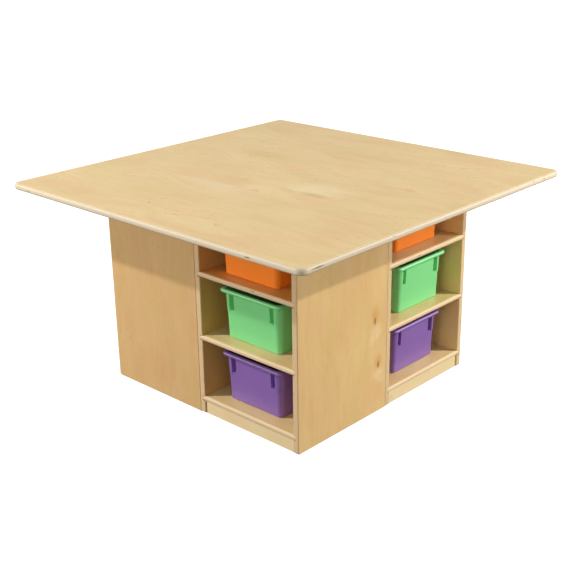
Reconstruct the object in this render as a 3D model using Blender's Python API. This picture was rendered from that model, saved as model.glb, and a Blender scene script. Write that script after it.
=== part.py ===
"""Square activity table on four tray cabinets set in a pinwheel.

Metres, +Z up. The origin is on the floor under the middle of the table top. A cabinet is drawn
once, with its opening towards -Y and its own origin on the floor at the middle of that opening.
Four cabinets face -Y, +X, +Y and -X, each a quarter turn from the one before.
"""

import math

import bmesh
import bpy
from mathutils import Matrix, Vector

# Table
TABLE_SIDE = 1.1176         # 44 in
TABLE_HEIGHT = 0.614        # a little over 24 in
TOP_THICKNESS = 0.019
TOP_CORNER_RADIUS = 0.022
TOP_EDGE_RADIUS = 0.0075

# Cabinets
BASE_SIDE = 0.741           # the square that the four cabinets fill
CABINET_WIDTH = 0.375
CABINET_DEPTH = BASE_SIDE - CABINET_WIDTH
SIDE_THICKNESS = 0.019
SIDE_EDGE_RADIUS = 0.005
SIDE_TOE_RADIUS = 0.0065    # the front bottom corner of a side, seen from the side
SHELF_THICKNESS = 0.015
SHELF_EDGE_RADIUS = 0.006
BACK_THICKNESS = 0.006
CLEAR_HEIGHT = 0.172        # between two shelves
KICK_HEIGHT = 0.038
KICK_THICKNESS = 0.015
KICK_SETBACK = 0.0045
DADO_DEPTH = 0.008          # how far a shelf goes into a side
RABBET_WIDTH = 0.009        # how far the back goes into a side
FIT = 0.0003                # the gap left between two touching pieces
OVERRUN = 0.002             # how far a cutter runs past the wood that it leaves

# Trays
TRAY_WIDTH = 0.228
TRAY_DEPTH = 0.305
TRAY_HEIGHT = 0.1435
TRAY_WALL = 0.0025
TRAY_DRAFT = 0.0055         # how much each wall leans in towards the bottom
TRAY_CORNER_RADIUS = 0.020  # of the body, just under the rim
TRAY_FOOT_RADIUS = 0.003    # the round between the walls and the bottom
RIM_OVERHANG = 0.010
RIM_SKIRT = 0.012
RIM_CORNER_RADIUS = 0.016
RIM_ROUND = 0.003           # the round along the rim's upper edge

# Hardware
SCREW_INSET_X = 0.120       # from the cabinet's middle line
SCREW_Y = 0.060             # behind the cabinet's front
SCREW_SHANK = 0.0045        # diameter
SCREW_HEAD = 0.010
SCREW_HEAD_HEIGHT = 0.003
SCREW_HEAD_CROWN = 0.7      # the flat of the head, as a share of its width
SCREW_BITE = 0.012          # how far a screw goes up into the table top
SCREW_POINT = 0.004         # the length of its point
BOLT_SHANK = 0.006
BOLT_HEAD = 0.015
BOLT_HEAD_HEIGHT = 0.0025
BOLT_HEAD_CHAMFER = 0.001
BOLT_BEHIND_FRONT = 0.240
BOLT_ABOVE_SHELF = 0.120

FACES = ("front", "right", "back", "left")
LEVELS = ("lower", "middle", "upper")
TRAY_COLOURS = {"lower": "purple", "middle": "green", "upper": "orange"}

# How far each tray sits to the right of its opening's middle, and how far its rim is behind the
# front of the shelf. Trays that children put back are never quite in line.
TRAY_SHIFTS = {
    "front": ((-0.014, 0.029), (-0.015, 0.030), (-0.013, 0.024)),
    "right": ((0.006, 0.032), (0.0205, 0.031), (0.008, 0.036)),
    "back": ((0.004, 0.030), (-0.006, 0.034), (0.010, 0.028)),
    "left": ((-0.008, 0.033), (0.003, 0.028), (0.012, 0.031)),
}


def clear_scene():
    for old in list(bpy.data.objects):
        bpy.data.objects.remove(old, do_unlink=True)


def make_material(name, colour, roughness, metallic=0.0):
    material = bpy.data.materials.new(name)
    material.use_nodes = True
    shader = material.node_tree.nodes["Principled BSDF"]
    shader.inputs["Base Color"].default_value = (*colour, 1.0)
    shader.inputs["Roughness"].default_value = roughness
    shader.inputs["Metallic"].default_value = metallic
    return material


def make_object(name, bm, material, parent=None, location=(0.0, 0.0, 0.0)):
    """Turn a finished bmesh into a named object in its parent's frame."""
    bmesh.ops.recalc_face_normals(bm, faces=bm.faces)
    mesh = bpy.data.meshes.new(name)
    bm.to_mesh(mesh)
    bm.free()
    mesh.shade_smooth()
    mesh.set_sharp_from_angle(angle=math.radians(35.0))
    mesh.materials.append(material)
    piece = bpy.data.objects.new(name, mesh)
    piece.location = location
    piece.parent = parent
    bpy.context.scene.collection.objects.link(piece)
    return piece


def box_mesh(low, high):
    bm = bmesh.new()
    size = Vector(high) - Vector(low)
    middle = (Vector(high) + Vector(low)) / 2.0
    place = Matrix.Translation(middle) @ Matrix.Diagonal((*size, 1.0))
    bmesh.ops.create_cube(bm, size=1.0, matrix=place)
    return bm


def prism_mesh(outline, direction):
    """A closed prism: a flat outline of 3-D points pushed along a direction."""
    bm = bmesh.new()
    face = bm.faces.new([bm.verts.new(point) for point in outline])
    pushed = bmesh.ops.extrude_face_region(bm, geom=[face])
    moved = [item for item in pushed["geom"] if isinstance(item, bmesh.types.BMVert)]
    bmesh.ops.translate(bm, verts=moved, vec=Vector(direction))
    return bm


def round_edges(bm, wanted, radius, segments):
    """Round every edge for which wanted(edge) is true."""
    edges = [edge for edge in bm.edges if wanted(edge)]
    bmesh.ops.bevel(bm, geom=edges, offset=radius, offset_type="OFFSET", segments=segments,
                    profile=0.5, affect="EDGES", clamp_overlap=True)


def arc(centre, radius, start, end, segments):
    """Points on a circle in a plane, from one angle in degrees to another."""
    angles = [math.radians(start + (end - start) * step / segments) for step in range(segments + 1)]
    return [(centre[0] + radius * math.cos(a), centre[1] + radius * math.sin(a)) for a in angles]


def rounded_rectangle(width, depth, radius, segments):
    """A rectangle with round corners about the origin, as points in a plane."""
    points = []
    for quarter, (sx, sy) in enumerate(((1, 1), (-1, 1), (-1, -1), (1, -1))):
        centre = (sx * (width / 2.0 - radius), sy * (depth / 2.0 - radius))
        points += arc(centre, radius, 90.0 * quarter, 90.0 * quarter + 90.0, segments)
    return points


def carve(piece, *cutters):
    """Cut the cutters out of a piece for good, and remove them."""
    for cutter in cutters:
        cut = piece.modifiers.new("cut", "BOOLEAN")
        cut.operation = "DIFFERENCE"
        cut.solver = "EXACT"
        cut.object = cutter
    graph = bpy.context.evaluated_depsgraph_get()
    carved = bpy.data.meshes.new_from_object(piece.evaluated_get(graph))
    piece.modifiers.clear()
    piece.data = carved
    for cutter in cutters:
        bpy.data.objects.remove(cutter, do_unlink=True)


def box_cutter(low, high):
    cutter = make_object("cutter", box_mesh(low, high), MATERIALS["steel"])
    cutter.hide_render = True
    cutter.display_type = "WIRE"
    return cutter


def rod_mesh(profile, segments=10):
    """A closed turned solid about +Z, from (radius, height) pairs, bottom to top."""
    bm = bmesh.new()
    rings = []
    for radius, height in profile:
        turn = [2.0 * math.pi * step / segments for step in range(segments)]
        rings.append([bm.verts.new((radius * math.cos(a), radius * math.sin(a), height)) for a in turn])
    for lower, upper in zip(rings, rings[1:]):
        for step in range(segments):
            after = (step + 1) % segments
            bm.faces.new((lower[step], lower[after], upper[after], upper[step]))
    bm.faces.new(reversed(rings[0]))
    bm.faces.new(rings[-1])
    return bm


def rod_cutter(diameter, start, end):
    """A round cutter that runs straight from one point to another."""
    start = Vector(start)
    along = Vector(end) - start
    bm = rod_mesh(((diameter / 2.0, 0.0), (diameter / 2.0, along.length)))
    turn = Vector((0.0, 0.0, 1.0)).rotation_difference(along).to_matrix().to_4x4()
    bmesh.ops.transform(bm, matrix=Matrix.Translation(start) @ turn, verts=bm.verts)
    cutter = make_object("cutter", bm, MATERIALS["steel"])
    cutter.hide_render = True
    cutter.display_type = "WIRE"
    return cutter


# Heights that follow from the driving dimensions
def shelf_top(level):
    """The height of the surface that a level's tray stands on."""
    return KICK_HEIGHT + SHELF_THICKNESS + LEVELS.index(level) * (CLEAR_HEIGHT + SHELF_THICKNESS)


TOP_UNDERSIDE = TABLE_HEIGHT - TOP_THICKNESS
CABINET_HEIGHT = TOP_UNDERSIDE - FIT
CAP_UNDERSIDE = CABINET_HEIGHT - SHELF_THICKNESS
CABINET_REAR = CABINET_DEPTH - FIT
BACK_FRONT = CABINET_REAR - BACK_THICKNESS
INSIDE_HALF = CABINET_WIDTH / 2.0 - SIDE_THICKNESS


def make_table_top():
    """One square board with a rounded edge all round and blind pilot holes below."""
    outline = rounded_rectangle(TABLE_SIDE, TABLE_SIDE, TOP_CORNER_RADIUS, 5)
    bm = prism_mesh([(x, y, TOP_UNDERSIDE) for x, y in outline], (0.0, 0.0, TOP_THICKNESS))
    round_edges(bm, lambda edge: abs(edge.verts[0].co.z - edge.verts[1].co.z) < 1e-6, TOP_EDGE_RADIUS, 4)
    top = make_object("table_top", bm, MATERIALS["top"])
    pilots = []
    for turn in range(4):
        frame = cabinet_frame(turn)
        for side in (-1, 1):
            foot = frame @ Vector((side * SCREW_INSET_X, SCREW_Y, TOP_UNDERSIDE - OVERRUN))
            tip = foot + Vector((0.0, 0.0, OVERRUN + SCREW_BITE + 2.0 * FIT))
            pilots.append(rod_cutter(SCREW_SHANK + 2.0 * FIT, foot, tip))
    carve(top, *pilots)


def cabinet_frame(turn):
    """The place of a cabinet: its own origin, then quarter turns about the table's middle."""
    half = BASE_SIDE / 2.0
    place = Matrix.Translation((half - CABINET_WIDTH / 2.0, -half, 0.0))
    return Matrix.Rotation(math.radians(90.0) * turn, 4, "Z") @ place


def is_on_long_rim(edge, x_faces, rear):
    """True for the front and bottom edges of a side board, on either of its flat faces."""
    a, b = (vert.co for vert in edge.verts)
    if not any(abs(a.x - x) < 1e-6 and abs(b.x - x) < 1e-6 for x in x_faces):
        return False
    on_rear = abs(a.y - rear) < 1e-6 and abs(b.y - rear) < 1e-6
    on_top = abs(a.z - CABINET_HEIGHT) < 1e-6 and abs(b.z - CABINET_HEIGHT) < 1e-6
    return not on_rear and not on_top


def side_mesh(hand):
    """A cabinet side. hand is -1 for the left one and 1 for the right one."""
    outer = hand * CABINET_WIDTH / 2.0
    inner = hand * INSIDE_HALF
    toe = arc((SIDE_TOE_RADIUS, SIDE_TOE_RADIUS), SIDE_TOE_RADIUS, 180.0, 270.0, 4)
    outline = [(0.0, CABINET_HEIGHT)] + toe + [(CABINET_REAR, 0.0), (CABINET_REAR, CABINET_HEIGHT)]
    bm = prism_mesh([(outer, y, z) for y, z in outline], (inner - outer, 0.0, 0.0))
    round_edges(bm, lambda edge: is_on_long_rim(edge, (inner, outer), CABINET_REAR), SIDE_EDGE_RADIUS, 4)
    return bm


def groove_cutters(hand):
    """The dados for the three shelves and the cap, and the rabbet for the back, in one side."""
    inner = hand * (INSIDE_HALF - OVERRUN)
    dado = sorted((inner, hand * (INSIDE_HALF + DADO_DEPTH)))
    rabbet = sorted((inner, hand * (INSIDE_HALF + RABBET_WIDTH)))
    past_top = CABINET_HEIGHT + OVERRUN
    spans = []
    for level in LEVELS:
        spans.append((shelf_top(level) - SHELF_THICKNESS - FIT, shelf_top(level) + FIT))
    spans.append((CAP_UNDERSIDE - FIT, past_top))
    cutters = []
    for low, high in spans:
        cutters.append(box_cutter((dado[0], -OVERRUN, low), (dado[1], BACK_FRONT - FIT, high)))
    cutters.append(box_cutter((rabbet[0], BACK_FRONT - FIT, KICK_HEIGHT - FIT),
                              (rabbet[1], CABINET_REAR + OVERRUN, past_top)))
    return cutters


def shelf_mesh(low):
    """A shelf whose ends sit in the dados, with a rounded front edge."""
    half = INSIDE_HALF + DADO_DEPTH - FIT
    bm = box_mesh((-half, 0.0, low), (half, BACK_FRONT - 2.0 * FIT, low + SHELF_THICKNESS))
    round_edges(bm, lambda edge: all(vert.co.y < 1e-6 for vert in edge.verts)
                and abs(edge.verts[0].co.z - edge.verts[1].co.z) < 1e-6, SHELF_EDGE_RADIUS, 4)
    return bm


def back_mesh():
    half = INSIDE_HALF + RABBET_WIDTH - FIT
    return box_mesh((-half, BACK_FRONT, KICK_HEIGHT), (half, CABINET_REAR, CABINET_HEIGHT))


def kick_mesh():
    half = INSIDE_HALF - FIT
    high = KICK_HEIGHT - FIT
    return box_mesh((-half, KICK_SETBACK, 0.0), (half, KICK_SETBACK + KICK_THICKNESS, high))


def tray_rings():
    """The tray's section as (inset from the rim, height, corner radius), outside to inside."""
    def body(inset, height):
        return inset, height, TRAY_CORNER_RADIUS + RIM_OVERHANG - inset

    def rim(inset, height):
        return inset, height, RIM_CORNER_RADIUS - inset

    top = TRAY_HEIGHT
    foot = RIM_OVERHANG + TRAY_DRAFT
    floor = foot + TRAY_WALL
    chamfer = TRAY_FOOT_RADIUS * (1.0 - math.sqrt(0.5))
    return (
        body(foot + TRAY_FOOT_RADIUS, 0.0),
        body(foot + chamfer, chamfer),
        body(foot, TRAY_FOOT_RADIUS),
        body(RIM_OVERHANG, top - TRAY_WALL),
        rim(TRAY_WALL, top - TRAY_WALL),
        rim(TRAY_WALL, top - RIM_SKIRT),
        rim(0.0, top - RIM_SKIRT),
        rim(0.0, top - RIM_ROUND),
        rim(RIM_ROUND, top),
        body(RIM_OVERHANG + TRAY_WALL, top),
        body(floor, TRAY_WALL + TRAY_FOOT_RADIUS),
        body(floor + TRAY_FOOT_RADIUS, TRAY_WALL),
    )


def tray_mesh():
    """An open tray with leaning walls and a rim that turns down, about its own bottom centre."""
    bm = bmesh.new()
    rings = []
    for inset, height, radius in tray_rings():
        outline = rounded_rectangle(TRAY_WIDTH - 2.0 * inset, TRAY_DEPTH - 2.0 * inset, radius, 3)
        rings.append([bm.verts.new((x, y, height)) for x, y in outline])
    for ring, after in zip(rings, rings[1:]):
        for step in range(len(ring)):
            following = (step + 1) % len(ring)
            bm.faces.new((ring[step], ring[following], after[following], after[step]))
    bm.faces.new(rings[0])
    bm.faces.new(rings[-1])
    return bm


def screw_mesh():
    """A pan-head screw that points up from under the cap, about the top of its head."""
    head = SCREW_HEAD / 2.0
    shank = SCREW_SHANK / 2.0
    tip = SHELF_THICKNESS + 2.0 * FIT + SCREW_BITE
    profile = ((head * SCREW_HEAD_CROWN, -SCREW_HEAD_HEIGHT), (head, -SCREW_HEAD_HEIGHT / 2.0), (head, 0.0),
               (shank, 0.0), (shank, tip - SCREW_POINT), (shank / 3.0, tip))
    return rod_mesh(profile)


def bolt_mesh():
    """A connector bolt with a low head at both ends, along +Z from its middle."""
    grip = SIDE_THICKNESS + BACK_THICKNESS + FIT
    head = BOLT_HEAD / 2.0
    shank = BOLT_SHANK / 2.0
    inner = grip / 2.0 + FIT
    outer = inner + BOLT_HEAD_HEIGHT
    face = head - BOLT_HEAD_CHAMFER
    edge = outer - BOLT_HEAD_CHAMFER
    profile = ((face, -outer), (head, -edge), (head, -inner), (shank, -inner),
               (shank, inner), (head, inner), (head, edge), (face, outer))
    return rod_mesh(profile)


def bolt_places():
    """Where the bolt goes through the left side, and through the back, in a cabinet's own frame.

    The left side of a cabinet stands against the back of the cabinet one quarter turn before it.
    """
    height = shelf_top("upper") + BOLT_ABOVE_SHELF
    side_y = BOLT_BEHIND_FRONT
    through_side = Vector((-CABINET_WIDTH / 2.0, side_y, height))
    neighbour = cabinet_frame(-1).inverted() @ cabinet_frame(0)
    return through_side, neighbour @ through_side


def make_cabinet(turn, meshes):
    """One cabinet from the shared meshes, turned into its place."""
    face = FACES[turn]
    frame = bpy.data.objects.new(face + "_cabinet", None)
    frame.matrix_world = cabinet_frame(turn)
    bpy.context.scene.collection.objects.link(frame)
    for name, mesh in meshes.items():
        piece = bpy.data.objects.new(face + "_" + name, mesh)
        piece.parent = frame
        bpy.context.scene.collection.objects.link(piece)
    return frame


def cabinet_meshes():
    """The fixed boards of a cabinet in its own frame, with every groove and hole cut."""
    through_side, through_back = bolt_places()
    bolt_hole = BOLT_SHANK + 2.0 * FIT
    pieces = {}
    for name, hand in (("left_side", -1), ("right_side", 1)):
        pieces[name] = make_object(name, side_mesh(hand), MATERIALS["board"])
        cutters = groove_cutters(hand)
        if hand < 0:
            reach = Vector((OVERRUN, 0.0, 0.0))
            end = through_side + Vector((SIDE_THICKNESS, 0.0, 0.0)) + reach
            cutters.append(rod_cutter(bolt_hole, through_side - reach, end))
        carve(pieces[name], *cutters)
    for level in LEVELS:
        low = shelf_top(level) - SHELF_THICKNESS
        pieces[level + "_shelf"] = make_object("shelf", shelf_mesh(low), MATERIALS["shelf"])
    pieces["cap"] = make_object("cap", shelf_mesh(CAP_UNDERSIDE), MATERIALS["shelf"])
    clear = SCREW_SHANK + 2.0 * FIT
    holes = []
    for side in (-1, 1):
        foot = Vector((side * SCREW_INSET_X, SCREW_Y, CAP_UNDERSIDE - OVERRUN))
        holes.append(rod_cutter(clear, foot, foot + Vector((0.0, 0.0, SHELF_THICKNESS + 2.0 * OVERRUN))))
    carve(pieces["cap"], *holes)
    pieces["back"] = make_object("back", back_mesh(), MATERIALS["shelf"])
    reach = Vector((0.0, BACK_THICKNESS + 2.0 * OVERRUN, 0.0))
    carve(pieces["back"], rod_cutter(bolt_hole, through_back - reach, through_back + reach))
    pieces["toe_kick"] = make_object("toe_kick", kick_mesh(), MATERIALS["board"])
    meshes = {name: piece.data for name, piece in pieces.items()}
    for piece in pieces.values():
        bpy.data.objects.remove(piece, do_unlink=True)
    return meshes


def make_trays(face, frame):
    """The three trays of a cabinet, each with its origin at the middle of its bottom."""
    for level, (shift, setback) in zip(LEVELS, TRAY_SHIFTS[face]):
        place = (shift, setback + TRAY_DEPTH / 2.0, shelf_top(level) + FIT)
        name = face + "_" + level + "_tray"
        make_object(name, tray_mesh(), MATERIALS[TRAY_COLOURS[level]], frame, place)


def make_hardware(face, frame):
    """Two screws up into the table top, and the bolt through to the neighbouring cabinet."""
    for side, hand in (("left", -1), ("right", 1)):
        place = (hand * SCREW_INSET_X, SCREW_Y, CAP_UNDERSIDE - FIT)
        make_object(face + "_" + side + "_screw", screw_mesh(), MATERIALS["steel"], frame, place)
    through_side, _ = bolt_places()
    middle = through_side.x + (SIDE_THICKNESS - BACK_THICKNESS - FIT) / 2.0
    bolt = make_object(face + "_joint_bolt", bolt_mesh(), MATERIALS["steel"], frame,
                       (middle, through_side.y, through_side.z))
    bolt.rotation_euler = (0.0, math.radians(90.0), 0.0)


clear_scene()
MATERIALS = {
    "top": make_material("table_top_birch", (0.78, 0.60, 0.35), 0.42),
    "board": make_material("cabinet_birch", (0.66, 0.45, 0.22), 0.45),
    "shelf": make_material("shelf_birch", (0.70, 0.52, 0.28), 0.48),
    "orange": make_material("tray_orange", (0.85, 0.20, 0.03), 0.35),
    "green": make_material("tray_green", (0.20, 0.62, 0.24), 0.35),
    "purple": make_material("tray_purple", (0.24, 0.11, 0.38), 0.35),
    "steel": make_material("zinc_steel", (0.62, 0.63, 0.65), 0.35, 1.0),
}
make_table_top()
CABINET_MESHES = cabinet_meshes()
for quarter, side_name in enumerate(FACES):
    cabinet = make_cabinet(quarter, CABINET_MESHES)
    make_trays(side_name, cabinet)
    make_hardware(side_name, cabinet)
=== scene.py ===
"""The looks of the square activity table: fine boards, moulded trays, hardware and studio.

Metres, +Z up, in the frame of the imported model. Boards are drawn as the front cabinet's, with its
opening towards -Y, and then turned a quarter at a time about the table's middle.
"""

import math
import random

import bmesh
import bpy
from mathutils import Matrix, Vector


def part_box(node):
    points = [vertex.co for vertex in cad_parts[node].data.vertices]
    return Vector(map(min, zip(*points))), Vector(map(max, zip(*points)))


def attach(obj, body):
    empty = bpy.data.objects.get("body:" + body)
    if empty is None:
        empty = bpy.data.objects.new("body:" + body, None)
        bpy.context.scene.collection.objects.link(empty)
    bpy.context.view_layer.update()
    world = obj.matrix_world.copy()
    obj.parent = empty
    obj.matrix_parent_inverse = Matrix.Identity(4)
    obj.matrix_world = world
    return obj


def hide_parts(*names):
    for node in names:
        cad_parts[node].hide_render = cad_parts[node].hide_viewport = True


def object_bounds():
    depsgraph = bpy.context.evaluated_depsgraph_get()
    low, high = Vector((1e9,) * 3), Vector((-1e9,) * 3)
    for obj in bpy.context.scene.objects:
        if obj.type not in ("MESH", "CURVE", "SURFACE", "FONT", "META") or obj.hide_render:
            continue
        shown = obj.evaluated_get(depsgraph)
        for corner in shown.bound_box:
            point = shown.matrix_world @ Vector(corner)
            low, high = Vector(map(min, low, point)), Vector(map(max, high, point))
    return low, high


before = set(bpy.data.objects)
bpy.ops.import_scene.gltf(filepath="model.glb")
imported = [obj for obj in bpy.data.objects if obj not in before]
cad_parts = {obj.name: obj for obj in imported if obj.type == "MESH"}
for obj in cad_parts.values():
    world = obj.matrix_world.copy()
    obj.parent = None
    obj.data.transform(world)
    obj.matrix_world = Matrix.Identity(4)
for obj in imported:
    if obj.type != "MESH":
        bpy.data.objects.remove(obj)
cad_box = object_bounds()

FACES = ("front", "right", "back", "left")
LEVELS = ("lower", "middle", "upper")

# Camera
CAMERA_AZIMUTH = 43.2612
CAMERA_ELEVATION = 20.9803
CAMERA_ROLL = -0.8636
CAMERA_DISTANCE = 2.86869
CAMERA_TARGET = (0.161987, -0.185459, 0.3684)
CAMERA_LENS = 65.766

# Light
# Each lamp is (name, run along X, run along Y, rise, width, height, power, tint). Its place is
# counted from the lower corner of the table top on that side, and it faces LAMP_TARGET.
LAMPS = (
    ("left_high", -1.61, -1.89, 2.30, 0.12, 0.12, 86.0, (1.0, 1.0, 1.04)),
    ("left_low", -2.07, -2.43, 0.55, 0.15, 0.50, 70.0, (1.0, 0.95, 0.86)),
    ("right_high", 2.64, 2.14, 2.30, 0.12, 0.12, 114.0, (1.0, 0.98, 0.94)),
    ("right_low", 2.49, 2.01, 0.55, 0.15, 0.50, 106.0, (1.0, 0.97, 0.91)),
    ("fill", 0.60, -2.80, 0.30, 1.20, 0.80, 17.0, (1.0, 1.0, 1.0)),
    ("front", 1.95, -2.05, 0.90, 0.50, 0.50, 5.0, (1.0, 1.0, 1.0)),
)
LAMP_TARGET = (0.0, 0.0, 0.35)
WHITE = (1.0, 1.0, 1.0, 1.0)
SKY_STRENGTH = 0.44          # the white light from above the horizon
GROUND_STRENGTH = 0.15       # and from below it
HORIZON_BLEND = 0.1          # how far from level, as a sine, one turns into the other
FLOOR_GLOW = 1.0             # makes the floor and the wall white
FLOOR_COLOUR = (0.25, 0.25, 0.25, 1.0)
FLOOR_GAP = 0.0005           # below the object
STUDIO_RADIUS = 40.0         # of the floor and of the wall round it
STUDIO_HEIGHT = 30.0         # of the wall

# Boards
FIT = 0.0003                 # the gap between two touching pieces
OVERRUN = 0.002              # how far a cutter runs past the wood it leaves
TOP_CORNER_RADIUS = 0.022
TOP_NOSE_RADIUS = 0.0075
SIDE_NOSE_RADIUS = 0.003
SIDE_TOE_RADIUS = 0.0065
SHELF_NOSE_RADIUS = 0.006
ARRIS = 0.0008               # the eased edges of backs and toe kicks
ROUND_STEPS = 8              # segments in a quarter of a turn
SAME = 1e-6                  # two coordinates this close are one
PLY_MARGIN = 0.02            # keeps a face's points inside the outer plies, as a share of a ply
PLIES = {"top": 13, "side": 13, "shelf": 11, "back": 5}

# Trays
TRAY_WALL = 0.0024
TRAY_FLOOR = 0.0032
TRAY_DRAFT = 0.0055          # how much each wall leans in towards the bottom
TRAY_OVERHANG = 0.010        # the rim bar beyond the front panel
TRAY_BODY_RADIUS = 0.019     # of the body's corners, just under the bar
BAR_RADIUS = 0.006
BAR_CORNER_RADIUS = 0.015
LIP_RADIUS = 0.003           # where the bar turns down into the tray
LIP_INSET = 0.004            # from the inner wall to where that turn starts
LIP_DROP = 0.0002            # from the bar's top to the turn's
SHOULDER_STEP = 0.0015       # how far the upper part of the corners, sides and back stands out
SHOULDER_SLOPE = 0.014       # the height over which it comes out
SHOULDER_HEIGHT = 0.046      # below the bar
CHANNEL_MIDDLE = 0.0745      # each dark channel's distance from the middle of the front
CHANNEL_WIDTH = 0.0145
CHANNEL_DEPTH = 0.0130
CHANNEL_HEIGHT = 0.045       # below the bar
CHANNEL_LEDGE = 0.003        # the height of the slope at its lower end
CHANNEL_EDGE = 0.0016        # how wide the round is along each side of a channel
FOOT_RADIUS = 0.003
FOOT_PAD = 0.0012            # how far the underside's middle stands up from the foot ring
CORNER_SHRINK = 0.8          # how fast a corner tightens as the foot's round turns in

# Screws and bolts
SCREW_SHANK_RADIUS = 0.00225
SCREW_HEAD_RADIUS = 0.005
SCREW_HEAD_HEIGHT = 0.003
THREAD_PITCH = 0.0018
THREAD_ROOT = 0.72           # the radius between two threads, as a share of the shank's
SCREW_POINT = 0.004          # the plain tip
RECESS_REACH = 0.0026        # half the length of each slot of the cross
RECESS_HALF = 0.0005         # half its width
RECESS_DEPTH = 0.0018
BOLT_SHANK_RADIUS = 0.003
BOLT_HEAD_RADIUS = 0.0075
BOLT_HEAD_HEIGHT = 0.0025
BOLT_RIM_RADIUS = 0.001
HEXAGON_RADIUS = 0.0023
HEXAGON_DEPTH = 0.0018
TOOL_OVERRUN = 0.001         # how far a slot's or a hexagon's cutter starts outside the head

# Wood colours
ROSY = (1.0, 0.93, 0.93)
OLIVE = (0.96, 1.0, 0.90)
FLECK = (0.78, 0.66, 0.52)
PORE = (0.30, 0.17, 0.06)
VOID = (0.10, 0.055, 0.025)
KNOT = (0.27, 0.125, 0.035)
BLUSH = (0.60, 0.32, 0.09)
GLOW = (0.78, 0.60, 0.33)
CREAM = (0.80, 0.68, 0.42)
UMBER = (0.44, 0.28, 0.10)
PINK = (0.78, 0.58, 0.40)
SIDE_END = (0.69, 0.49, 0.27)
SHELF_END = (0.74, 0.55, 0.33)
TOP_END = (0.66, 0.55, 0.39)
# Spots are (across, along, half width, half length, colour, strength), in metres from a board's
# lowest corner across and along its grain.
SIDE_SPOTS = (
    (0.314, 0.296, 0.026, 0.046, BLUSH, 0.75),
    (0.322, 0.250, 0.036, 0.034, GLOW, 0.42),
    (0.306, 0.228, 0.026, 0.022, GLOW, 0.30),
    (0.314, 0.282, 0.006, 0.015, KNOT, 0.90),
    (0.330, 0.156, 0.022, 0.030, BLUSH, 0.65),
    (0.330, 0.118, 0.046, 0.022, GLOW, 0.42),
    (0.345, 0.096, 0.030, 0.016, GLOW, 0.30),
    (0.331, 0.146, 0.006, 0.013, KNOT, 0.90),
)
TOP_SPOTS = (
    (0.500, 0.725, 0.080, 0.150, CREAM, 0.50),
    (0.456, 0.750, 0.024, 0.070, UMBER, 0.42),
    (0.450, 0.660, 0.012, 0.050, UMBER, 0.20),
    (0.360, 0.480, 0.040, 0.180, PINK, 0.45),
    (0.660, 0.915, 0.018, 0.030, BLUSH, 0.35),
    (0.700, 0.330, 0.080, 0.110, BLUSH, 0.22),
    (0.575, 0.200, 0.026, 0.020, GLOW, 0.30),
    (0.126, 0.456, 0.004, 0.006, KNOT, 0.90),
)
# Voids in the edge's ply are (across, along, ply, half length).
TOP_DASHES = ((0.055, 1.118, 7.6, 0.026), (0.0, 0.950, 7.0, 0.012))
# Boards with a wood of their own, or with painted light or painted shade in their colour
SIDE_LOOKS = {
    "front_right_side": "knotty_side",
    # painted light: this side is paler, so its wall inside the right openings looks more brightly lit
    "right_right_side": "painted_light_side",
    # painted shade: this side is darker and orange-brown, as shade and trays' bounced light on its wall
    # inside the front openings
    "front_left_side": "painted_shade_side",
}
# painted shade: the front upper shelf is darker and orange-brown, as shade under the top and the orange
# tray's bounced light
SHELF_LOOKS = {"front_upper_shelf": "painted_shade_shelf"}

# Plastic and metal colours
SCRATCH = (0.9, 0.9, 0.9)
ZINC_DARK = (0.50, 0.51, 0.50)
ZINC_LIGHT = (0.70, 0.70, 0.68)


# Camera

def make_camera():
    """A camera that looks back at its target from an azimuth, an elevation and a distance."""
    azimuth = math.radians(CAMERA_AZIMUTH)
    elevation = math.radians(CAMERA_ELEVATION)
    roll = math.radians(CAMERA_ROLL)
    flat = math.cos(elevation)
    back = Vector((math.sin(azimuth) * flat, -math.cos(azimuth) * flat, math.sin(elevation)))
    level = Vector((math.cos(azimuth), math.sin(azimuth), 0.0))
    upright = back.cross(level)
    right = level * math.cos(roll) + upright * math.sin(roll)
    up = upright * math.cos(roll) - level * math.sin(roll)
    data = bpy.data.cameras.new("camera")
    data.lens = CAMERA_LENS
    data.sensor_width = 36.0
    camera = bpy.data.objects.new("camera", data)
    place = Vector(CAMERA_TARGET) + back * CAMERA_DISTANCE
    turn = Matrix((right, up, back)).transposed().to_4x4()
    camera.matrix_world = Matrix.Translation(place) @ turn
    bpy.context.scene.collection.objects.link(camera)
    bpy.context.scene.camera = camera


# Materials

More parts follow.
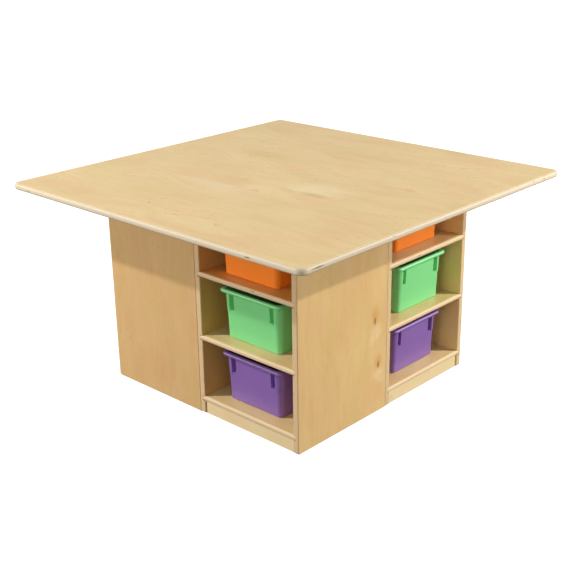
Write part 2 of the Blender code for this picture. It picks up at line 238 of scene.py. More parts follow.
class Tree:
    """A material's node tree, built with short calls."""

    def __init__(self, name):
        self.material = bpy.data.materials.new(name)
        self.material.use_nodes = True
        self.nodes = self.material.node_tree.nodes
        self.links = self.material.node_tree.links
        self.shader = self.nodes["Principled BSDF"]

    def put(self, socket, value):
        """Link an output to a socket, or set a plain value on it."""
        if isinstance(value, bpy.types.NodeSocket):
            self.links.new(value, socket)
        else:
            socket.default_value = value

    def add(self, kind, inputs, **settings):
        """A node with its settings and its inputs."""
        node = self.nodes.new("ShaderNode" + kind)
        for key, value in settings.items():
            setattr(node, key, value)
        for key, value in inputs.items():
            self.put(node.inputs[key], value)
        return node

    def attribute(self, name, output):
        return self.add("Attribute", {}, attribute_name=name).outputs[output]

    def math(self, operation, a, b=0.0, c=0.0):
        return self.add("Math", {0: a, 1: b, 2: c}, operation=operation).outputs[0]

    def product(self, a, b):
        return self.math("MULTIPLY", a, b)

    def vector(self, x, y, z):
        return self.add("CombineXYZ", {0: x, 1: y, 2: z}).outputs[0]

    def split(self, vector):
        return list(self.add("SeparateXYZ", {0: vector}).outputs)

    def noise(self, vector, scale=1.0, detail=2.0):
        inputs = {"Vector": vector, "Scale": scale, "Detail": detail}
        return self.add("TexNoise", inputs).outputs["Fac"]

    def ease(self, value, low, high):
        """0 below low, 1 above high, smooth between."""
        inputs = {"Value": value, "From Min": low, "From Max": high}
        return self.add("MapRange", inputs, interpolation_type="SMOOTHSTEP").outputs["Result"]

    def mix(self, share, a, b, blend="MIX"):
        """A colour between a and b, each an output or a plain (red, green, blue)."""
        inputs = {0: share, 6: a, 7: b}
        for socket in (6, 7):
            if not isinstance(inputs[socket], bpy.types.NodeSocket):
                inputs[socket] = (*inputs[socket], 1.0)
        return self.add("Mix", inputs, data_type="RGBA", blend_type=blend).outputs[2]

    def bump(self, height, strength, distance):
        inputs = {"Height": height, "Strength": strength, "Distance": distance}
        return self.add("Bump", inputs).outputs["Normal"]

    def finish(self, **sockets):
        """Fill the shader's sockets, whose names have _ for a space, and give the material."""
        for name, value in sockets.items():
            self.put(self.shader.inputs[name.replace("_", " ")], value)
        return self.material


def tinted(colour, share):
    """A colour made lighter or darker, and never quite white."""
    return tuple(min(value * share, 0.95) for value in colour)


def birch(name, plies, pale, deep, end, grain=0.45, flecks=0.45, spots=(), dashes=()):
    """Lacquered birch ply.

    The grain attribute holds metres across and along the grain, and plies counted through the
    board; the board attribute is a number of the board's own. pale and deep are the face's colours
    and end is the edge's. grain and flecks say how strong the fine streaks and the flecks are.
    spots colour the face, and dashes are voids in the edge.
    """
    tree = Tree(name)
    across, along, layer = tree.split(tree.attribute("grain", "Vector"))
    board = tree.attribute("board", "Fac")
    ply = tree.math("FLOOR", layer)
    u = tree.math("MULTIPLY_ADD", board, 3.17, across)
    v = tree.math("MULTIPLY_ADD", board, 5.31, along)

    def stretched(per_metre_across, per_metre_along):
        return tree.vector(tree.product(u, per_metre_across), tree.product(v, per_metre_along),
                           tree.product(ply, 1.7))

    def distance(*terms):
        """How far a point lies from a middle, each term being (coordinate, middle, half size)."""
        total = 0.0
        for value, middle, half_size in terms:
            share = tree.math("DIVIDE", tree.math("SUBTRACT", value, middle), half_size)
            total = tree.math("MULTIPLY_ADD", share, share, total)
        return tree.math("SQRT", total)

    cloud = tree.noise(stretched(9.0, 4.0), detail=3.0)
    wander = tree.noise(stretched(7.0, 3.0), detail=1.0)
    bent = tree.math("MULTIPLY_ADD", wander, 9.0, tree.product(u, 42.0))
    figure = tree.noise(tree.vector(bent, tree.product(v, 3.0), board), detail=3.0)
    streak = tree.noise(stretched(420.0, 6.0), detail=2.0)
    pore = tree.ease(tree.noise(stretched(700.0, 46.0), detail=1.0), 0.64, 0.76)
    tone = tree.math("MULTIPLY_ADD", cloud, 1.1, -0.55)
    tone = tree.math("ADD", tone, tree.math("MULTIPLY_ADD", figure, 0.8, -0.40))
    tone = tree.math("ADD", tone, tree.math("MULTIPLY_ADD", streak, grain, 0.5 - grain / 2.0))
    face = tree.mix(tone, deep, pale)
    rosy = tree.ease(tree.noise(stretched(14.0, 7.0), detail=2.0), 0.48, 0.68)
    face = tree.mix(tree.product(rosy, 0.75), face, ROSY, "MULTIPLY")
    olive = tree.ease(tree.noise(stretched(11.0, 8.0), scale=1.3, detail=2.0), 0.50, 0.68)
    face = tree.mix(tree.product(olive, 0.75), face, OLIVE, "MULTIPLY")
    curl = tree.product(tree.noise(stretched(16.0, 16.0), detail=1.0), 22.0)
    fleck = tree.noise(tree.vector(tree.math("MULTIPLY_ADD", u, 72.0, curl),
                                   tree.math("MULTIPLY_ADD", v, 26.0, curl), board), detail=2.0)
    fleck = tree.product(tree.ease(fleck, 0.58, 0.72), tree.ease(cloud, 0.40, 0.60))
    face = tree.mix(tree.product(fleck, flecks), face, FLECK, "MULTIPLY")
    face = tree.mix(tree.product(pore, 0.16), face, PORE)
    for x, y, half_width, half_length, colour, strength in spots:
        reach = distance((across, x, half_width), (along, y, half_length))
        inner = tree.math("SUBTRACT", reach, 0.45)
        ragged = tree.math("MULTIPLY_ADD", tree.noise(stretched(90.0, 30.0)), 0.9, inner)
        share = tree.product(tree.math("SUBTRACT", 1.0, tree.ease(ragged, 0.15, 1.0)), strength)
        face = tree.mix(share, face, colour)

    within = tree.math("FRACT", layer)
    crossed = tree.math("MODULO", ply, 2.0)
    speckle = tree.noise(tree.vector(tree.product(u, 900.0), tree.product(v, 900.0), ply))
    light_ply = tree.mix(speckle, end, tinted(end, 1.10))
    cross_ply = tree.mix(speckle, tinted(end, 0.72), tinted(end, 0.95))
    edge = tree.mix(crossed, light_ply, cross_ply)
    edge = tree.mix(tree.ease(within, 0.0, 0.14), tinted(end, 0.55), edge)
    gap = tree.noise(tree.vector(tree.product(u, 22.0), tree.product(v, 22.0),
                                 tree.product(ply, 5.3)), detail=0.0)
    gap = tree.product(tree.ease(gap, 0.80, 0.82), crossed)
    edge = tree.mix(gap, edge, VOID)
    for x, y, level, half_length in dashes:
        reach = distance((across, x, half_length), (along, y, half_length), (layer, level, 1.1))
        edge = tree.mix(tree.math("SUBTRACT", 1.0, tree.ease(reach, 0.55, 1.0)), edge, VOID)
    depth = tree.math("MINIMUM", layer, tree.math("SUBTRACT", float(plies), layer))
    on_edge = tree.ease(depth, 0.30, 0.75)

    rough = tree.math("MULTIPLY_ADD", streak, 0.10, 0.33)
    rough = tree.math("MULTIPLY_ADD", on_edge, 0.12, rough)
    height = tree.math("SUBTRACT", tree.product(streak, 0.5), pore)
    return tree.finish(Base_Color=tree.mix(on_edge, face, edge), Roughness=rough,
                       Specular_IOR_Level=0.35, Normal=tree.bump(height, 0.10, 0.0003))


def moulded_plastic(name, colour, shade):
    """Satin moulded plastic: faint flow marks, a fine pebbled skin and hair scratches."""
    tree = Tree(name)
    place = tree.add("TexCoord", {}).outputs["Object"]
    x, y, z = tree.split(place)
    own = tree.attribute("board", "Fac")
    flow = tree.noise(tree.vector(tree.math("MULTIPLY_ADD", x, 16.0, own), tree.product(y, 16.0),
                                  tree.product(z, 7.0)), detail=3.0)
    pebble = tree.noise(place, scale=1500.0, detail=1.0)
    hair = tree.noise(tree.vector(tree.math("MULTIPLY_ADD", x, 40.0, own), tree.product(y, 40.0),
                                  tree.product(z, 1300.0)), detail=2.0)
    hair = tree.ease(hair, 0.70, 0.80)
    skin = tree.mix(flow, shade, colour)
    skin = tree.mix(tree.product(hair, 0.10), skin, SCRATCH)
    rough = tree.math("MULTIPLY_ADD", flow, 0.08, 0.34)
    rough = tree.math("MULTIPLY_ADD", hair, 0.10, rough)
    height = tree.math("SUBTRACT", pebble, hair)
    return tree.finish(Base_Color=skin, Roughness=rough, Normal=tree.bump(height, 0.10, 0.0001))


def zinc_steel():
    """Bright zinc plate with a faint turned grain."""
    tree = Tree("zinc_steel_fine")
    place = tree.add("TexCoord", {}).outputs["Object"]
    x, y, z = tree.split(place)
    reach = tree.math("SQRT", tree.math("ADD", tree.product(x, x), tree.product(y, y)))
    rings = tree.noise(tree.vector(tree.product(reach, 5000.0), tree.product(z, 3000.0), 0.0))
    bloom = tree.noise(place, scale=400.0, detail=3.0)
    colour = tree.mix(bloom, ZINC_DARK, ZINC_LIGHT)
    rough = tree.math("MULTIPLY_ADD", rings, 0.16, 0.26)
    return tree.finish(Base_Color=colour, Roughness=rough, Metallic=1.0,
                       Normal=tree.bump(rings, 0.10, 0.0001))


# Mesh helpers

def arc(centre, radius, start, end, steps=ROUND_STEPS):
    """Points on a circle in a plane, from one angle in degrees to another."""
    angles = [math.radians(start + (end - start) * step / steps) for step in range(steps + 1)]
    return [(centre[0] + radius * math.cos(a), centre[1] + radius * math.sin(a)) for a in angles]


def rounded_corners(low, high, radii):
    """A rectangle with its own radius at each corner: low-low, high-low, high-high, low-high."""
    signs = ((-1, -1), (1, -1), (1, 1), (-1, 1))
    points = []
    for corner, ((sa, sb), radius) in enumerate(zip(signs, radii)):
        at = (high[0] if sa > 0 else low[0], high[1] if sb > 0 else low[1])
        if radius == 0.0:
            points.append(at)
            continue
        centre = (at[0] - sa * radius, at[1] - sb * radius)
        points += arc(centre, radius, 180.0 + 90.0 * corner, 270.0 + 90.0 * corner)
    return points


def prism(outline, axis, start, end):
    """A closed prism along an axis (0, 1 or 2), from an outline in the other two, in that order."""
    bm = bmesh.new()
    points = []
    for a, b in outline:
        point = [a, b]
        point.insert(axis, start)
        points.append(bm.verts.new(point))
    face = bm.faces.new(points)
    pushed = bmesh.ops.extrude_face_region(bm, geom=[face])
    moved = [item for item in pushed["geom"] if isinstance(item, bmesh.types.BMVert)]
    push = Vector((0.0, 0.0, 0.0))
    push[axis] = end - start
    bmesh.ops.translate(bm, verts=moved, vec=push)
    return bm


def round_edges(bm, wanted, radius, steps=ROUND_STEPS):
    """Round every edge whose two ends the wanted function accepts."""
    edges = [edge for edge in bm.edges if wanted(edge.verts[0].co, edge.verts[1].co)]
    bmesh.ops.bevel(bm, geom=edges, offset=radius, offset_type="OFFSET", segments=steps,
                    profile=0.5, affect="EDGES", clamp_overlap=True)


def turned(profile, steps=40):
    """A closed turned solid about +Z, from (radius, height) pairs, bottom to top."""
    bm = bmesh.new()
    rings = []
    for radius, height in profile:
        angles = [2.0 * math.pi * step / steps for step in range(steps)]
        circle = [(radius * math.cos(a), radius * math.sin(a), height) for a in angles]
        rings.append([bm.verts.new(point) for point in circle])
    stitch(bm, rings)
    return bm


def stitch(bm, rings):
    """Faces between rings of vertices, with a flat cap at each end."""
    count = len(rings[0])
    for ring, after in zip(rings, rings[1:]):
        for step in range(count):
            following = (step + 1) % count
            bm.faces.new((ring[step], ring[following], after[following], after[step]))
    bm.faces.new(rings[0])
    bm.faces.new(rings[-1])


def mesh_from(bm, name):
    """A mesh from a finished bmesh, with its faces pointing out."""
    bmesh.ops.recalc_face_normals(bm, faces=bm.faces)
    mesh = bpy.data.meshes.new(name)
    bm.to_mesh(mesh)
    bm.free()
    return mesh


def link(name, mesh):
    """A mesh as an object in the scene."""
    piece = bpy.data.objects.new(name, mesh)
    bpy.context.scene.collection.objects.link(piece)
    return piece


def box_tool(low, high):
    """A box to cut with, from its lowest to its highest corner."""
    left, front, bottom = low
    right, rear, top = high
    return prism([(left, front), (right, front), (right, rear), (left, rear)], 2, bottom, top)


def rod_tool(radius, start, end):
    """A round rod to cut with, straight from one point to another."""
    start = Vector(start)
    run = Vector(end) - start
    bm = turned(((radius, 0.0), (radius, run.length)), 24)
    turn = Vector((0.0, 0.0, 1.0)).rotation_difference(run).to_matrix().to_4x4()
    bmesh.ops.transform(bm, matrix=Matrix.Translation(start) @ turn, verts=bm.verts)
    return bm


def carved(mesh, tools):
    """The mesh with every tool cut out of it."""
    piece = link("blank", mesh)
    cutters = []
    for tool in tools:
        cutter = link("tool", mesh_from(tool, "tool"))
        cut = piece.modifiers.new("cut", "BOOLEAN")
        cut.operation = "DIFFERENCE"
        cut.solver = "EXACT"
        cut.object = cutter
        cutters.append(cutter)
    graph = bpy.context.evaluated_depsgraph_get()
    result = bpy.data.meshes.new_from_object(piece.evaluated_get(graph))
    for spent in [piece, *cutters]:
        bpy.data.objects.remove(spent, do_unlink=True)
    return result


def set_attribute(mesh, name, kind, field, values):
    """Write one value for each vertex."""
    layer = mesh.attributes.new(name, kind, "POINT")
    layer.data.foreach_set(field, values)


def shade(piece, angle=35.0):
    """Smooth rounds, crisp corners, and flat faces that stay flat beside a round."""
    piece.data.shade_smooth()
    piece.data.set_sharp_from_angle(angle=math.radians(angle))
    even = piece.modifiers.new("even_normals", "WEIGHTED_NORMAL")
    even.keep_sharp = True
    even.weight = 50


# Boards

numbers = random.Random(11)


def set_own_number(mesh):
    """Give a piece a number of its own, which shifts its figure."""
    own = numbers.uniform(0.0, 40.0)
    set_attribute(mesh, "board", "FLOAT", "value", [own] * len(mesh.vertices))


def quarter(turn):
    """The turn that carries the front cabinet to a later one."""
    return Matrix.Rotation(math.radians(90.0) * turn, 4, "Z")


def front_box(node, turn):
    """A node's box as it would lie in the front cabinet."""
    corners = [quarter(-turn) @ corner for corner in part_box(node)]
    return Vector(map(min, *corners)), Vector(map(max, *corners))


def middle_of(box):
    """The middle of a box given by its lowest and highest corners."""
    low, high = box
    return (low + high) / 2.0


def finish_board(node, mesh, turn, axes, plies, material):
    """Make a board's mesh the piece for its node. axes are (across, along, through) the grain."""
    low = [min(vert.co[axis] for vert in mesh.vertices) for axis in range(3)]
    high = [max(vert.co[axis] for vert in mesh.vertices) for axis in range(3)]
    across, along, through = axes
    thickness = high[through] - low[through]
    grain = []
    for vert in mesh.vertices:
        layer = (vert.co[through] - low[through]) / thickness * plies
        layer = min(max(layer, PLY_MARGIN), plies - PLY_MARGIN)
        grain += [vert.co[across] - low[across], vert.co[along] - low[along], layer]
    set_attribute(mesh, "grain", "FLOAT_VECTOR", "vector", grain)
    set_own_number(mesh)
    mesh.name = node + "_board"
    mesh.transform(quarter(turn))
    mesh.materials.clear()
    mesh.materials.append(material)
    piece = link(node + "_board", mesh)
    shade(piece)
    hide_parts(node)
    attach(piece, "table")


def make_table_top():
    """One square board with a bullnose all round and the screws' pilot holes below."""
    low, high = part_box("table_top")
    outline = rounded_corners(low.xy, high.xy, [TOP_CORNER_RADIUS] * 4)
    bm = prism(outline, 2, low.z, high.z)
    round_edges(bm, lambda a, b: abs(a.z - b.z) < SAME, TOP_NOSE_RADIUS)
    pilots = []
    for face in FACES:
        for hand in ("left", "right"):
            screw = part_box(face + "_" + hand + "_screw")
            middle = middle_of(screw)
            pilots.append(rod_tool(SCREW_SHANK_RADIUS + FIT, (*middle.xy, low.z - OVERRUN),
                                   (*middle.xy, screw[1].z + FIT)))
    mesh = carved(mesh_from(bm, "table_top"), pilots)
    finish_board("table_top", mesh, 0, (1, 0, 2), PLIES["top"], MATERIALS["table_top"])


def side_blank(low, high):
    """A cabinet side before its grooves: round front, bottom and toe, square top and rear."""
    toe = arc((low.y + SIDE_TOE_RADIUS, low.z + SIDE_TOE_RADIUS), SIDE_TOE_RADIUS, 180.0, 270.0)
    outline = [(low.y, high.z)] + toe + [(high.y, low.z), (high.y, high.z)]
    bm = prism(outline, 0, low.x, high.x)

    def on_rim(a, b):
        along_face = abs(a.x - b.x) < SAME
        rear = min(a.y, b.y) > high.y - SAME
        top = min(a.z, b.z) > high.z - SAME
        return along_face and not rear and not top

    round_edges(bm, on_rim, SIDE_NOSE_RADIUS)
    return mesh_from(bm, "side")


def make_side(face, turn, hand):
    """A side with a through dado for every shelf and the cap, and a rabbet for the back."""
    name = face + "_" + hand + "_side"
    low, high = front_box(name, turn)
    tools = []
    for part in ("lower_shelf", "middle_shelf", "upper_shelf", "cap", "back"):
        near, far = front_box(face + "_" + part, turn)
        near = near - Vector((FIT, FIT, FIT))
        far = far + Vector((FIT, FIT, FIT))
        if part != "back":
            near.y -= OVERRUN
        if part in ("cap", "back"):
            far.z += OVERRUN
        if part == "back":
            far.y += OVERRUN
        tools.append(box_tool(near, far))
    if hand == "left":
        middle = middle_of(front_box(face + "_joint_bolt", turn))
        tools.append(rod_tool(BOLT_SHANK_RADIUS + FIT, (low.x - OVERRUN, middle.y, middle.z),
                              (high.x + OVERRUN, middle.y, middle.z)))
    mesh = carved(side_blank(low, high), tools)
    material = MATERIALS[SIDE_LOOKS.get(name, "side")]
    finish_board(name, mesh, turn, (1, 2, 0), PLIES["side"], material)


def make_shelf(face, turn, part):
    """A shelf, or the cap, whose front edge is rounded."""
    name = face + "_" + part
    low, high = front_box(name, turn)
    nose = SHELF_NOSE_RADIUS
    outline = rounded_corners((low.y, low.z), (high.y, high.z), [nose, 0.0, 0.0, nose])
    mesh = mesh_from(prism(outline, 0, low.x, high.x), name)
    if part == "cap":
        holes = []
        for hand in ("left", "right"):
            middle = middle_of(front_box(face + "_" + hand + "_screw", turn))
            holes.append(rod_tool(SCREW_SHANK_RADIUS + FIT, (*middle.xy, low.z - OVERRUN),
                                  (*middle.xy, high.z + OVERRUN)))
        mesh = carved(mesh, holes)
    material = MATERIALS[SHELF_LOOKS.get(name, "shelf")]
    finish_board(name, mesh, turn, (1, 0, 2), PLIES["shelf"], material)


def make_back(face, turn):
    """The thin back, with the hole for the neighbour's bolt."""
    name = face + "_back"
    low, high = front_box(name, turn)
    outline = rounded_corners((low.x, low.y), (high.x, high.y), [ARRIS] * 4)
    neighbour = FACES[(turn + 1) % len(FACES)]
    middle = middle_of(front_box(neighbour + "_joint_bolt", turn))
    hole = rod_tool(BOLT_SHANK_RADIUS + FIT, (middle.x, low.y - OVERRUN, middle.z),
                    (middle.x, high.y + OVERRUN, middle.z))
    mesh = carved(mesh_from(prism(outline, 2, low.z, high.z), name), [hole])
    finish_board(name, mesh, turn, (0, 2, 1), PLIES["back"], MATERIALS["back"])


def make_toe_kick(face, turn):
    """The low board that stands back under the lower shelf."""
    name = face + "_toe_kick"
    low, high = front_box(name, turn)
    outline = rounded_corners((low.y, low.z), (high.y, high.z), [ARRIS] * 4)
    mesh = mesh_from(prism(outline, 0, low.x, high.x), name)
    finish_board(name, mesh, turn, (2, 0, 1), PLIES["shelf"], MATERIALS["toe_kick"])


# Trays

def front_stations(half):
    """Places along the front, as shares of its straight half, close together beside a channel."""
    inner = CHANNEL_MIDDLE - CHANNEL_WIDTH / 2.0
    outer = CHANNEL_MIDDLE + CHANNEL_WIDTH / 2.0
    edges = [edge + step * CHANNEL_EDGE / 4.0 for edge in (inner, outer) for step in (-2, -1, 0, 1, 2)]
    places = [half * share / 6.0 for share in range(5)] + edges + [CHANNEL_MIDDLE, half]
    places = [place for place in places if place <= half]
    return sorted({-place / half for place in places} | {place / half for place in places})


def tray_stations(half):
    """Stations round the tray, counter-clockwise from the front: (side, share of its straight half,
    None) along a side, and (side, None, angle in degrees) on the corner after it."""
    stations = []
    plain = [-1.0 + 2.0 * step / 12.0 for step in range(13)]
    for side in range(4):
        shares = front_stations(half) if side == 0 else plain
        stations += [(side, share, None) for share in shares]
        stations += [(side, None, 90.0 * step / 10.0) for step in range(1, 10)]
    return stations


def station_point(station, half_x, half_y, radius):
    """The point and the outward direction of a station on a rounded rectangle."""
    side, share, angle = station
    half = half_x if side % 2 == 0 else half_y
    away = (half_y if side % 2 == 0 else half_x) + radius
    turn = Matrix.Rotation(math.radians(90.0) * side, 2)
    if share is not None:
        return turn @ Vector((share * half, -away)), turn @ Vector((0.0, -1.0))
    direction = Vector((math.sin(math.radians(angle)), -math.cos(math.radians(angle))))
    return turn @ (Vector((half, -away + radius)) + direction * radius), turn @ direction


def ramp(value, low, high):
    """0 below low, 1 above high, straight between."""
    return min(max((value - low) / (high - low), 0.0), 1.0)


def ease(value, low, high):
    """0 below low, 1 above high, smooth between."""
    share = ramp(value, low, high)
    return share * share * (3.0 - 2.0 * share)


def relief(station, half):
    """(shoulder, channel) shares at a station: 1 where each is at its full depth."""
    side, share, _ = station
    if side != 0 or share is None:
        return 1.0, 0.0
    reach = abs(share) * half
    inner = CHANNEL_MIDDLE - CHANNEL_WIDTH / 2.0
    outer = CHANNEL_MIDDLE + CHANNEL_WIDTH / 2.0
    shoulder = ease(reach, outer - CHANNEL_EDGE / 2.0, outer + CHANNEL_EDGE / 2.0)
    channel = ease(reach, inner - CHANNEL_EDGE / 2.0, inner + CHANNEL_EDGE / 2.0) * (1.0 - shoulder)
    return shoulder, channel


def wall_heights(height):
    """Heights up a wall, close together where the shoulders and the channels end."""
    under = height - 2.0 * BAR_RADIUS
    low = under - SHOULDER_HEIGHT - SHOULDER_SLOPE
    channel = under - CHANNEL_HEIGHT
    plain = [FOOT_RADIUS + (low - FOOT_RADIUS) * step / 6.0 for step in range(7)]
    slope = [low + SHOULDER_SLOPE * step / 8.0 for step in range(1, 9)]
    ledge = [channel - CHANNEL_LEDGE + (CHANNEL_LEDGE + 0.0004) * step / 4.0 for step in range(5)]
    upper = [channel + 0.002 + (CHANNEL_HEIGHT - 0.002) * step / 5.0 for step in range(6)]
    return sorted(plain + slope + ledge + upper)


def tray_sections(height):
    """Sections as (inset, height, corner radius, shoulder, channel), from the bottom's middle, up
    the outside, over the rim and down the inside to the floor."""
    under = height - 2.0 * BAR_RADIUS
    shoulder_foot = under - SHOULDER_HEIGHT
    channel_foot = under - CHANNEL_HEIGHT

    def wall(z, thickness):
        inset = TRAY_DRAFT * (1.0 - z / height) + thickness
        shoulder = SHOULDER_STEP * ease(z, shoulder_foot - SHOULDER_SLOPE, shoulder_foot)
        channel = CHANNEL_DEPTH * ramp(z, channel_foot - CHANNEL_LEDGE, channel_foot)
        return TRAY_OVERHANG + inset, z, TRAY_BODY_RADIUS - inset, shoulder, channel

    foot_inset, _, foot_radius, _, _ = wall(0.0, 0.0)
    pad = ((4.0, FOOT_PAD), (3.5, FOOT_PAD / 6.0), (3.0, 0.0))
    sections = [(foot_inset + share * FOOT_RADIUS, z, foot_radius - 2.0 * FOOT_RADIUS, 0.0, 0.0)
                for share, z in pad]
    for step in range(5):
        angle = math.radians(90.0 * step / 5.0)
        inset = FOOT_RADIUS * (1.0 - math.sin(angle))
        sections.append((foot_inset + inset, FOOT_RADIUS * (1.0 - math.cos(angle)),
                         foot_radius - inset * CORNER_SHRINK, 0.0, 0.0))
    heights = wall_heights(height)
    sections += [wall(z, 0.0) for z in heights]
    bar = BAR_RADIUS
    for step in range(13):
        angle = math.radians(-90.0 + 180.0 * step / 12.0)
        inset = bar - bar * math.cos(angle)
        sections.append((inset, under + bar + bar * math.sin(angle), BAR_CORNER_RADIUS - inset,
                         0.0, 0.0))
    inner_inset, _, inner_radius, _, _ = wall(under, TRAY_WALL)
    lip_top = height - LIP_DROP
    for step in range(4):
        angle = math.radians(90.0 * step / 4.0)
        sections.append((inner_inset - LIP_INSET + LIP_RADIUS * math.sin(angle),
                         lip_top - LIP_RADIUS * (1.0 - math.cos(angle)),
                         inner_radius + LIP_RADIUS * (1.0 - math.sin(angle)), 0.0, 0.0))
    sections += [wall(z, TRAY_WALL) for z in reversed(heights) if z > TRAY_FLOOR + FOOT_RADIUS]
    floor_inset, _, floor_radius, _, _ = wall(TRAY_FLOOR, TRAY_WALL)
    for step in range(1, 6):
        angle = math.radians(90.0 * step / 5.0)
        inset = FOOT_RADIUS * (1.0 - math.cos(angle))
        sections.append((floor_inset + inset, TRAY_FLOOR + FOOT_RADIUS * (1.0 - math.sin(angle)),
                         floor_radius - inset * CORNER_SHRINK, 0.0, 0.0))
    return sections


def tray_mesh(name, size):
    """A moulded tray about the middle of its bottom, with its front towards -Y."""
    half_x = size.x / 2.0 - TRAY_OVERHANG - TRAY_BODY_RADIUS
    stations = tray_stations(half_x)
    reliefs = [relief(station, half_x) for station in stations]
    bm = bmesh.new()
    rings = []
    for inset, height, radius, shoulder, channel in tray_sections(size.z):
        straight_x = size.x / 2.0 - inset - radius
        straight_y = size.y / 2.0 - inset - radius
        ring = []
        for station, (on_shoulder, on_channel) in zip(stations, reliefs):
            point, outward = station_point(station, straight_x, straight_y, radius)
            point = point + outward * (shoulder * on_shoulder - channel * on_channel)
            ring.append(bm.verts.new((point.x, point.y, height)))
        rings.append(ring)
    stitch(bm, rings)
    return mesh_from(bm, name)


def make_trays(face, turn):
    """The three trays of a cabinet, each a body of its own."""
    for level in LEVELS:
        node = face + "_" + level + "_tray"
        low, high = front_box(node, turn)
        mesh = tray_mesh(node + "_moulding", high - low)
        set_own_number(mesh)
        slot_name, material = TRAY_LOOKS[level]
        mesh.materials.append(material)
        piece = link(node + "_moulding", mesh)
        foot = Vector(((low.x + high.x) / 2.0, (low.y + high.y) / 2.0, low.z))
        piece.matrix_world = quarter(turn) @ Matrix.Translation(foot)
        shade(piece, 40.0)
        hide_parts(node)
        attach(piece, node)


# Hardware

def finish_hardware(name, mesh, place):
    """Make a mesh about +Z the piece for its node, laid in its place."""
    mesh.materials.clear()
    mesh.materials.append(MATERIALS["steel"])
    piece = link(name + "_fine", mesh)
    piece.matrix_world = place
    shade(piece, 40.0)
    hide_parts(name)
    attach(piece, "table")


def make_screw(face, hand):
    """A pan-head screw, with a cross recess, up into the table top."""
    name = face + "_" + hand + "_screw"
    low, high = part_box(name)
    length = high.z - low.z
    head = SCREW_HEAD_RADIUS
    dome = [(head * math.cos(math.radians(a)), SCREW_HEAD_HEIGHT * (1.0 - math.sin(math.radians(a))))
            for a in (80, 65, 50, 35, 20, 8, 0)]
    profile = dome + [(head, SCREW_HEAD_HEIGHT)]
    shank = SCREW_SHANK_RADIUS
    start = SCREW_HEAD_HEIGHT
    turns = int((length - start - SCREW_POINT) / THREAD_PITCH)
    for turn in range(turns):
        profile += [(shank * THREAD_ROOT, start + THREAD_PITCH * turn),
                    (shank, start + THREAD_PITCH * (turn + 0.5))]
    profile += [(shank * THREAD_ROOT, start + THREAD_PITCH * turns), (shank * 0.1, length)]
    slots = [box_tool((-half_x, -half_y, -TOOL_OVERRUN), (half_x, half_y, RECESS_DEPTH))
             for half_x, half_y in ((RECESS_REACH, RECESS_HALF), (RECESS_HALF, RECESS_REACH))]
    mesh = carved(mesh_from(turned(profile), name), slots)
    middle = middle_of((low, high))
    finish_hardware(name, mesh, Matrix.Translation((middle.x, middle.y, low.z)))


def make_bolt(face, turn):
    """A connector bolt with a low round head at each end and a hexagonal socket in one."""
    name = face + "_joint_bolt"
    low, high = front_box(name, turn)
    half = (high.x - low.x) / 2.0
    head = BOLT_HEAD_RADIUS
    inner = half - BOLT_HEAD_HEIGHT
    angles = [math.radians(a) for a in (0, 22, 45, 68, 90)]
    rim = [(head - BOLT_RIM_RADIUS * (1.0 - math.cos(a)), half - BOLT_RIM_RADIUS * (1.0 - math.sin(a)))
           for a in angles]
    upper = [(BOLT_SHANK_RADIUS, inner), (head, inner)] + rim
    profile = [(radius, -height) for radius, height in reversed(upper)] + upper
    hexagon = turned(((HEXAGON_RADIUS, half - HEXAGON_DEPTH), (HEXAGON_RADIUS, half + TOOL_OVERRUN)), 6)
    mesh = carved(mesh_from(turned(profile), name), [hexagon])
    middle = middle_of((low, high))
    lie = Matrix.Rotation(math.radians(90.0), 4, "Y")
    finish_hardware(name, mesh, quarter(turn) @ Matrix.Translation(middle) @ lie)


# Studio

def make_studio():
    """A white floor and a far white wall round it. Neither throws light on the object."""
    floor_paint = Tree("studio_floor")
    floor_paint.finish(Base_Color=FLOOR_COLOUR, Roughness=0.9, Emission_Color=WHITE,
                       Emission_Strength=FLOOR_GLOW)
    wall_paint = Tree("studio_wall")
    wall_paint.finish(Base_Color=(0.0, 0.0, 0.0, 1.0), Roughness=0.9, Specular_IOR_Level=0.0,
                      Emission_Color=WHITE, Emission_Strength=FLOOR_GLOW)
    bm = bmesh.new()
    bmesh.ops.create_circle(bm, cap_ends=True, segments=64, radius=STUDIO_RADIUS)
    floor = link("studio_floor", mesh_from(bm, "studio_floor"))
    floor.data.materials.append(floor_paint.material)
    bm = bmesh.new()
    bmesh.ops.create_circle(bm, segments=64, radius=STUDIO_RADIUS)
    pushed = bmesh.ops.extrude_edge_only(bm, edges=bm.edges[:])
    raised = [item for item in pushed["geom"] if isinstance(item, bmesh.types.BMVert)]
    bmesh.ops.translate(bm, verts=raised, vec=(0.0, 0.0, STUDIO_HEIGHT))
    wall = link("studio_wall", mesh_from(bm, "studio_wall"))
    wall.data.materials.append(wall_paint.material)
    wall.visible_shadow = False
    for piece in (floor, wall):
        piece.location.z = cad_box[0].z - FLOOR_GAP
        piece.visible_diffuse = False
        piece.visible_glossy = False


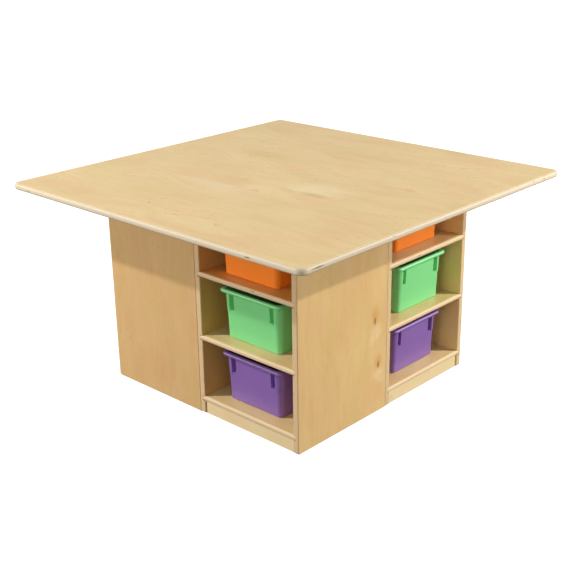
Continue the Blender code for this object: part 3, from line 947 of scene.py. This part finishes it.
def make_lights():
    """Soft white light from all round, a high and a low lamp on each side, and two weak lamps."""
    world = bpy.data.worlds.new("studio_world")
    world.use_nodes = True
    nodes = world.node_tree.nodes
    links = world.node_tree.links
    direction = nodes.new("ShaderNodeTexCoord")
    parts = nodes.new("ShaderNodeSeparateXYZ")
    strength = nodes.new("ShaderNodeMapRange")
    strength.inputs["From Min"].default_value = -HORIZON_BLEND
    strength.inputs["From Max"].default_value = HORIZON_BLEND
    strength.inputs["To Min"].default_value = GROUND_STRENGTH
    strength.inputs["To Max"].default_value = SKY_STRENGTH
    background = nodes["Background"]
    background.inputs["Color"].default_value = WHITE
    links.new(direction.outputs["Generated"], parts.inputs["Vector"])
    links.new(parts.outputs["Z"], strength.inputs["Value"])
    links.new(strength.outputs["Result"], background.inputs["Strength"])
    bpy.context.scene.world = world
    low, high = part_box("table_top")
    for name, run_x, run_y, rise, width, height, power, tint in LAMPS:
        corner = Vector((low.x if run_x < 0.0 else high.x, low.y if run_y < 0.0 else high.y, low.z))
        place = corner + Vector((run_x, run_y, rise))
        data = bpy.data.lights.new(name + "_lamp", "AREA")
        data.shape = "RECTANGLE"
        data.size = width
        data.size_y = height
        data.energy = power
        data.color = tint
        lamp = bpy.data.objects.new(name + "_lamp", data)
        turn = (place - Vector(LAMP_TARGET)).to_track_quat("Z", "Y").to_matrix().to_4x4()
        lamp.matrix_world = Matrix.Translation(place) @ turn
        bpy.context.scene.collection.objects.link(lamp)


make_camera()
make_lights()
make_studio()
bpy.context.scene.view_settings.view_transform = "Standard"

MATERIALS = {
    "table_top": birch("table_top_birch_fine", PLIES["top"],
                       (0.780, 0.595, 0.315), (0.655, 0.465, 0.215), TOP_END,
                       0.35, 0.65, TOP_SPOTS, TOP_DASHES),
    "side": birch("side_birch_fine", PLIES["side"],
                  (0.650, 0.420, 0.192), (0.560, 0.350, 0.148), SIDE_END),
    "knotty_side": birch("knotty_side_birch_fine", PLIES["side"],
                         (0.720, 0.500, 0.232), (0.625, 0.395, 0.165), SIDE_END,
                         0.75, 0.2, SIDE_SPOTS),
    # painted light: paler than the side wood, for light on the wall inside the right openings
    "painted_light_side": birch("pale_side_birch_fine", PLIES["side"],
                       (0.860, 0.620, 0.240), (0.780, 0.530, 0.195), SIDE_END),
    # painted shade and painted bounced light: darker, orange-brown wood for the wall inside the front
    # openings
    "painted_shade_side": birch("amber_side_birch_fine", PLIES["side"],
                        (0.620, 0.360, 0.105), (0.520, 0.285, 0.080), SIDE_END),
    "shelf": birch("shelf_birch_fine", PLIES["shelf"],
                   (0.830, 0.650, 0.330), (0.660, 0.460, 0.205), SHELF_END),
    # painted shade and painted bounced light from the orange tray, on the shelf under it
    "painted_shade_shelf": birch("amber_shelf_birch_fine", PLIES["shelf"],
                         (0.780, 0.390, 0.100), (0.660, 0.310, 0.075), SHELF_END),
    "toe_kick": birch("toe_kick_birch_fine", PLIES["shelf"],
                      (0.780, 0.620, 0.365), (0.700, 0.540, 0.290), SHELF_END),
    "back": birch("back_birch_fine", PLIES["back"],
                  (0.655, 0.452, 0.196), (0.520, 0.337, 0.132), SHELF_END),
    "steel": zinc_steel(),
}
PURPLE = moulded_plastic("tray_purple_fine", (0.220, 0.113, 0.368), (0.198, 0.100, 0.335))
GREEN = moulded_plastic("tray_green_fine", (0.200, 0.640, 0.240), (0.180, 0.590, 0.210))
ORANGE = moulded_plastic("tray_orange_fine", (0.950, 0.250, 0.015), (0.900, 0.220, 0.012))
TRAY_LOOKS = {
    "lower": ("tray_purple", PURPLE),
    "middle": ("tray_green", GREEN),
    "upper": ("tray_orange", ORANGE),
}

make_table_top()
for count, face_name in enumerate(FACES):
    for side_hand in ("left", "right"):
        make_side(face_name, count, side_hand)
        make_screw(face_name, side_hand)
    for shelf_name in ("lower_shelf", "middle_shelf", "upper_shelf", "cap"):
        make_shelf(face_name, count, shelf_name)
    make_back(face_name, count)
    make_toe_kick(face_name, count)
    make_trays(face_name, count)
    make_bolt(face_name, count)
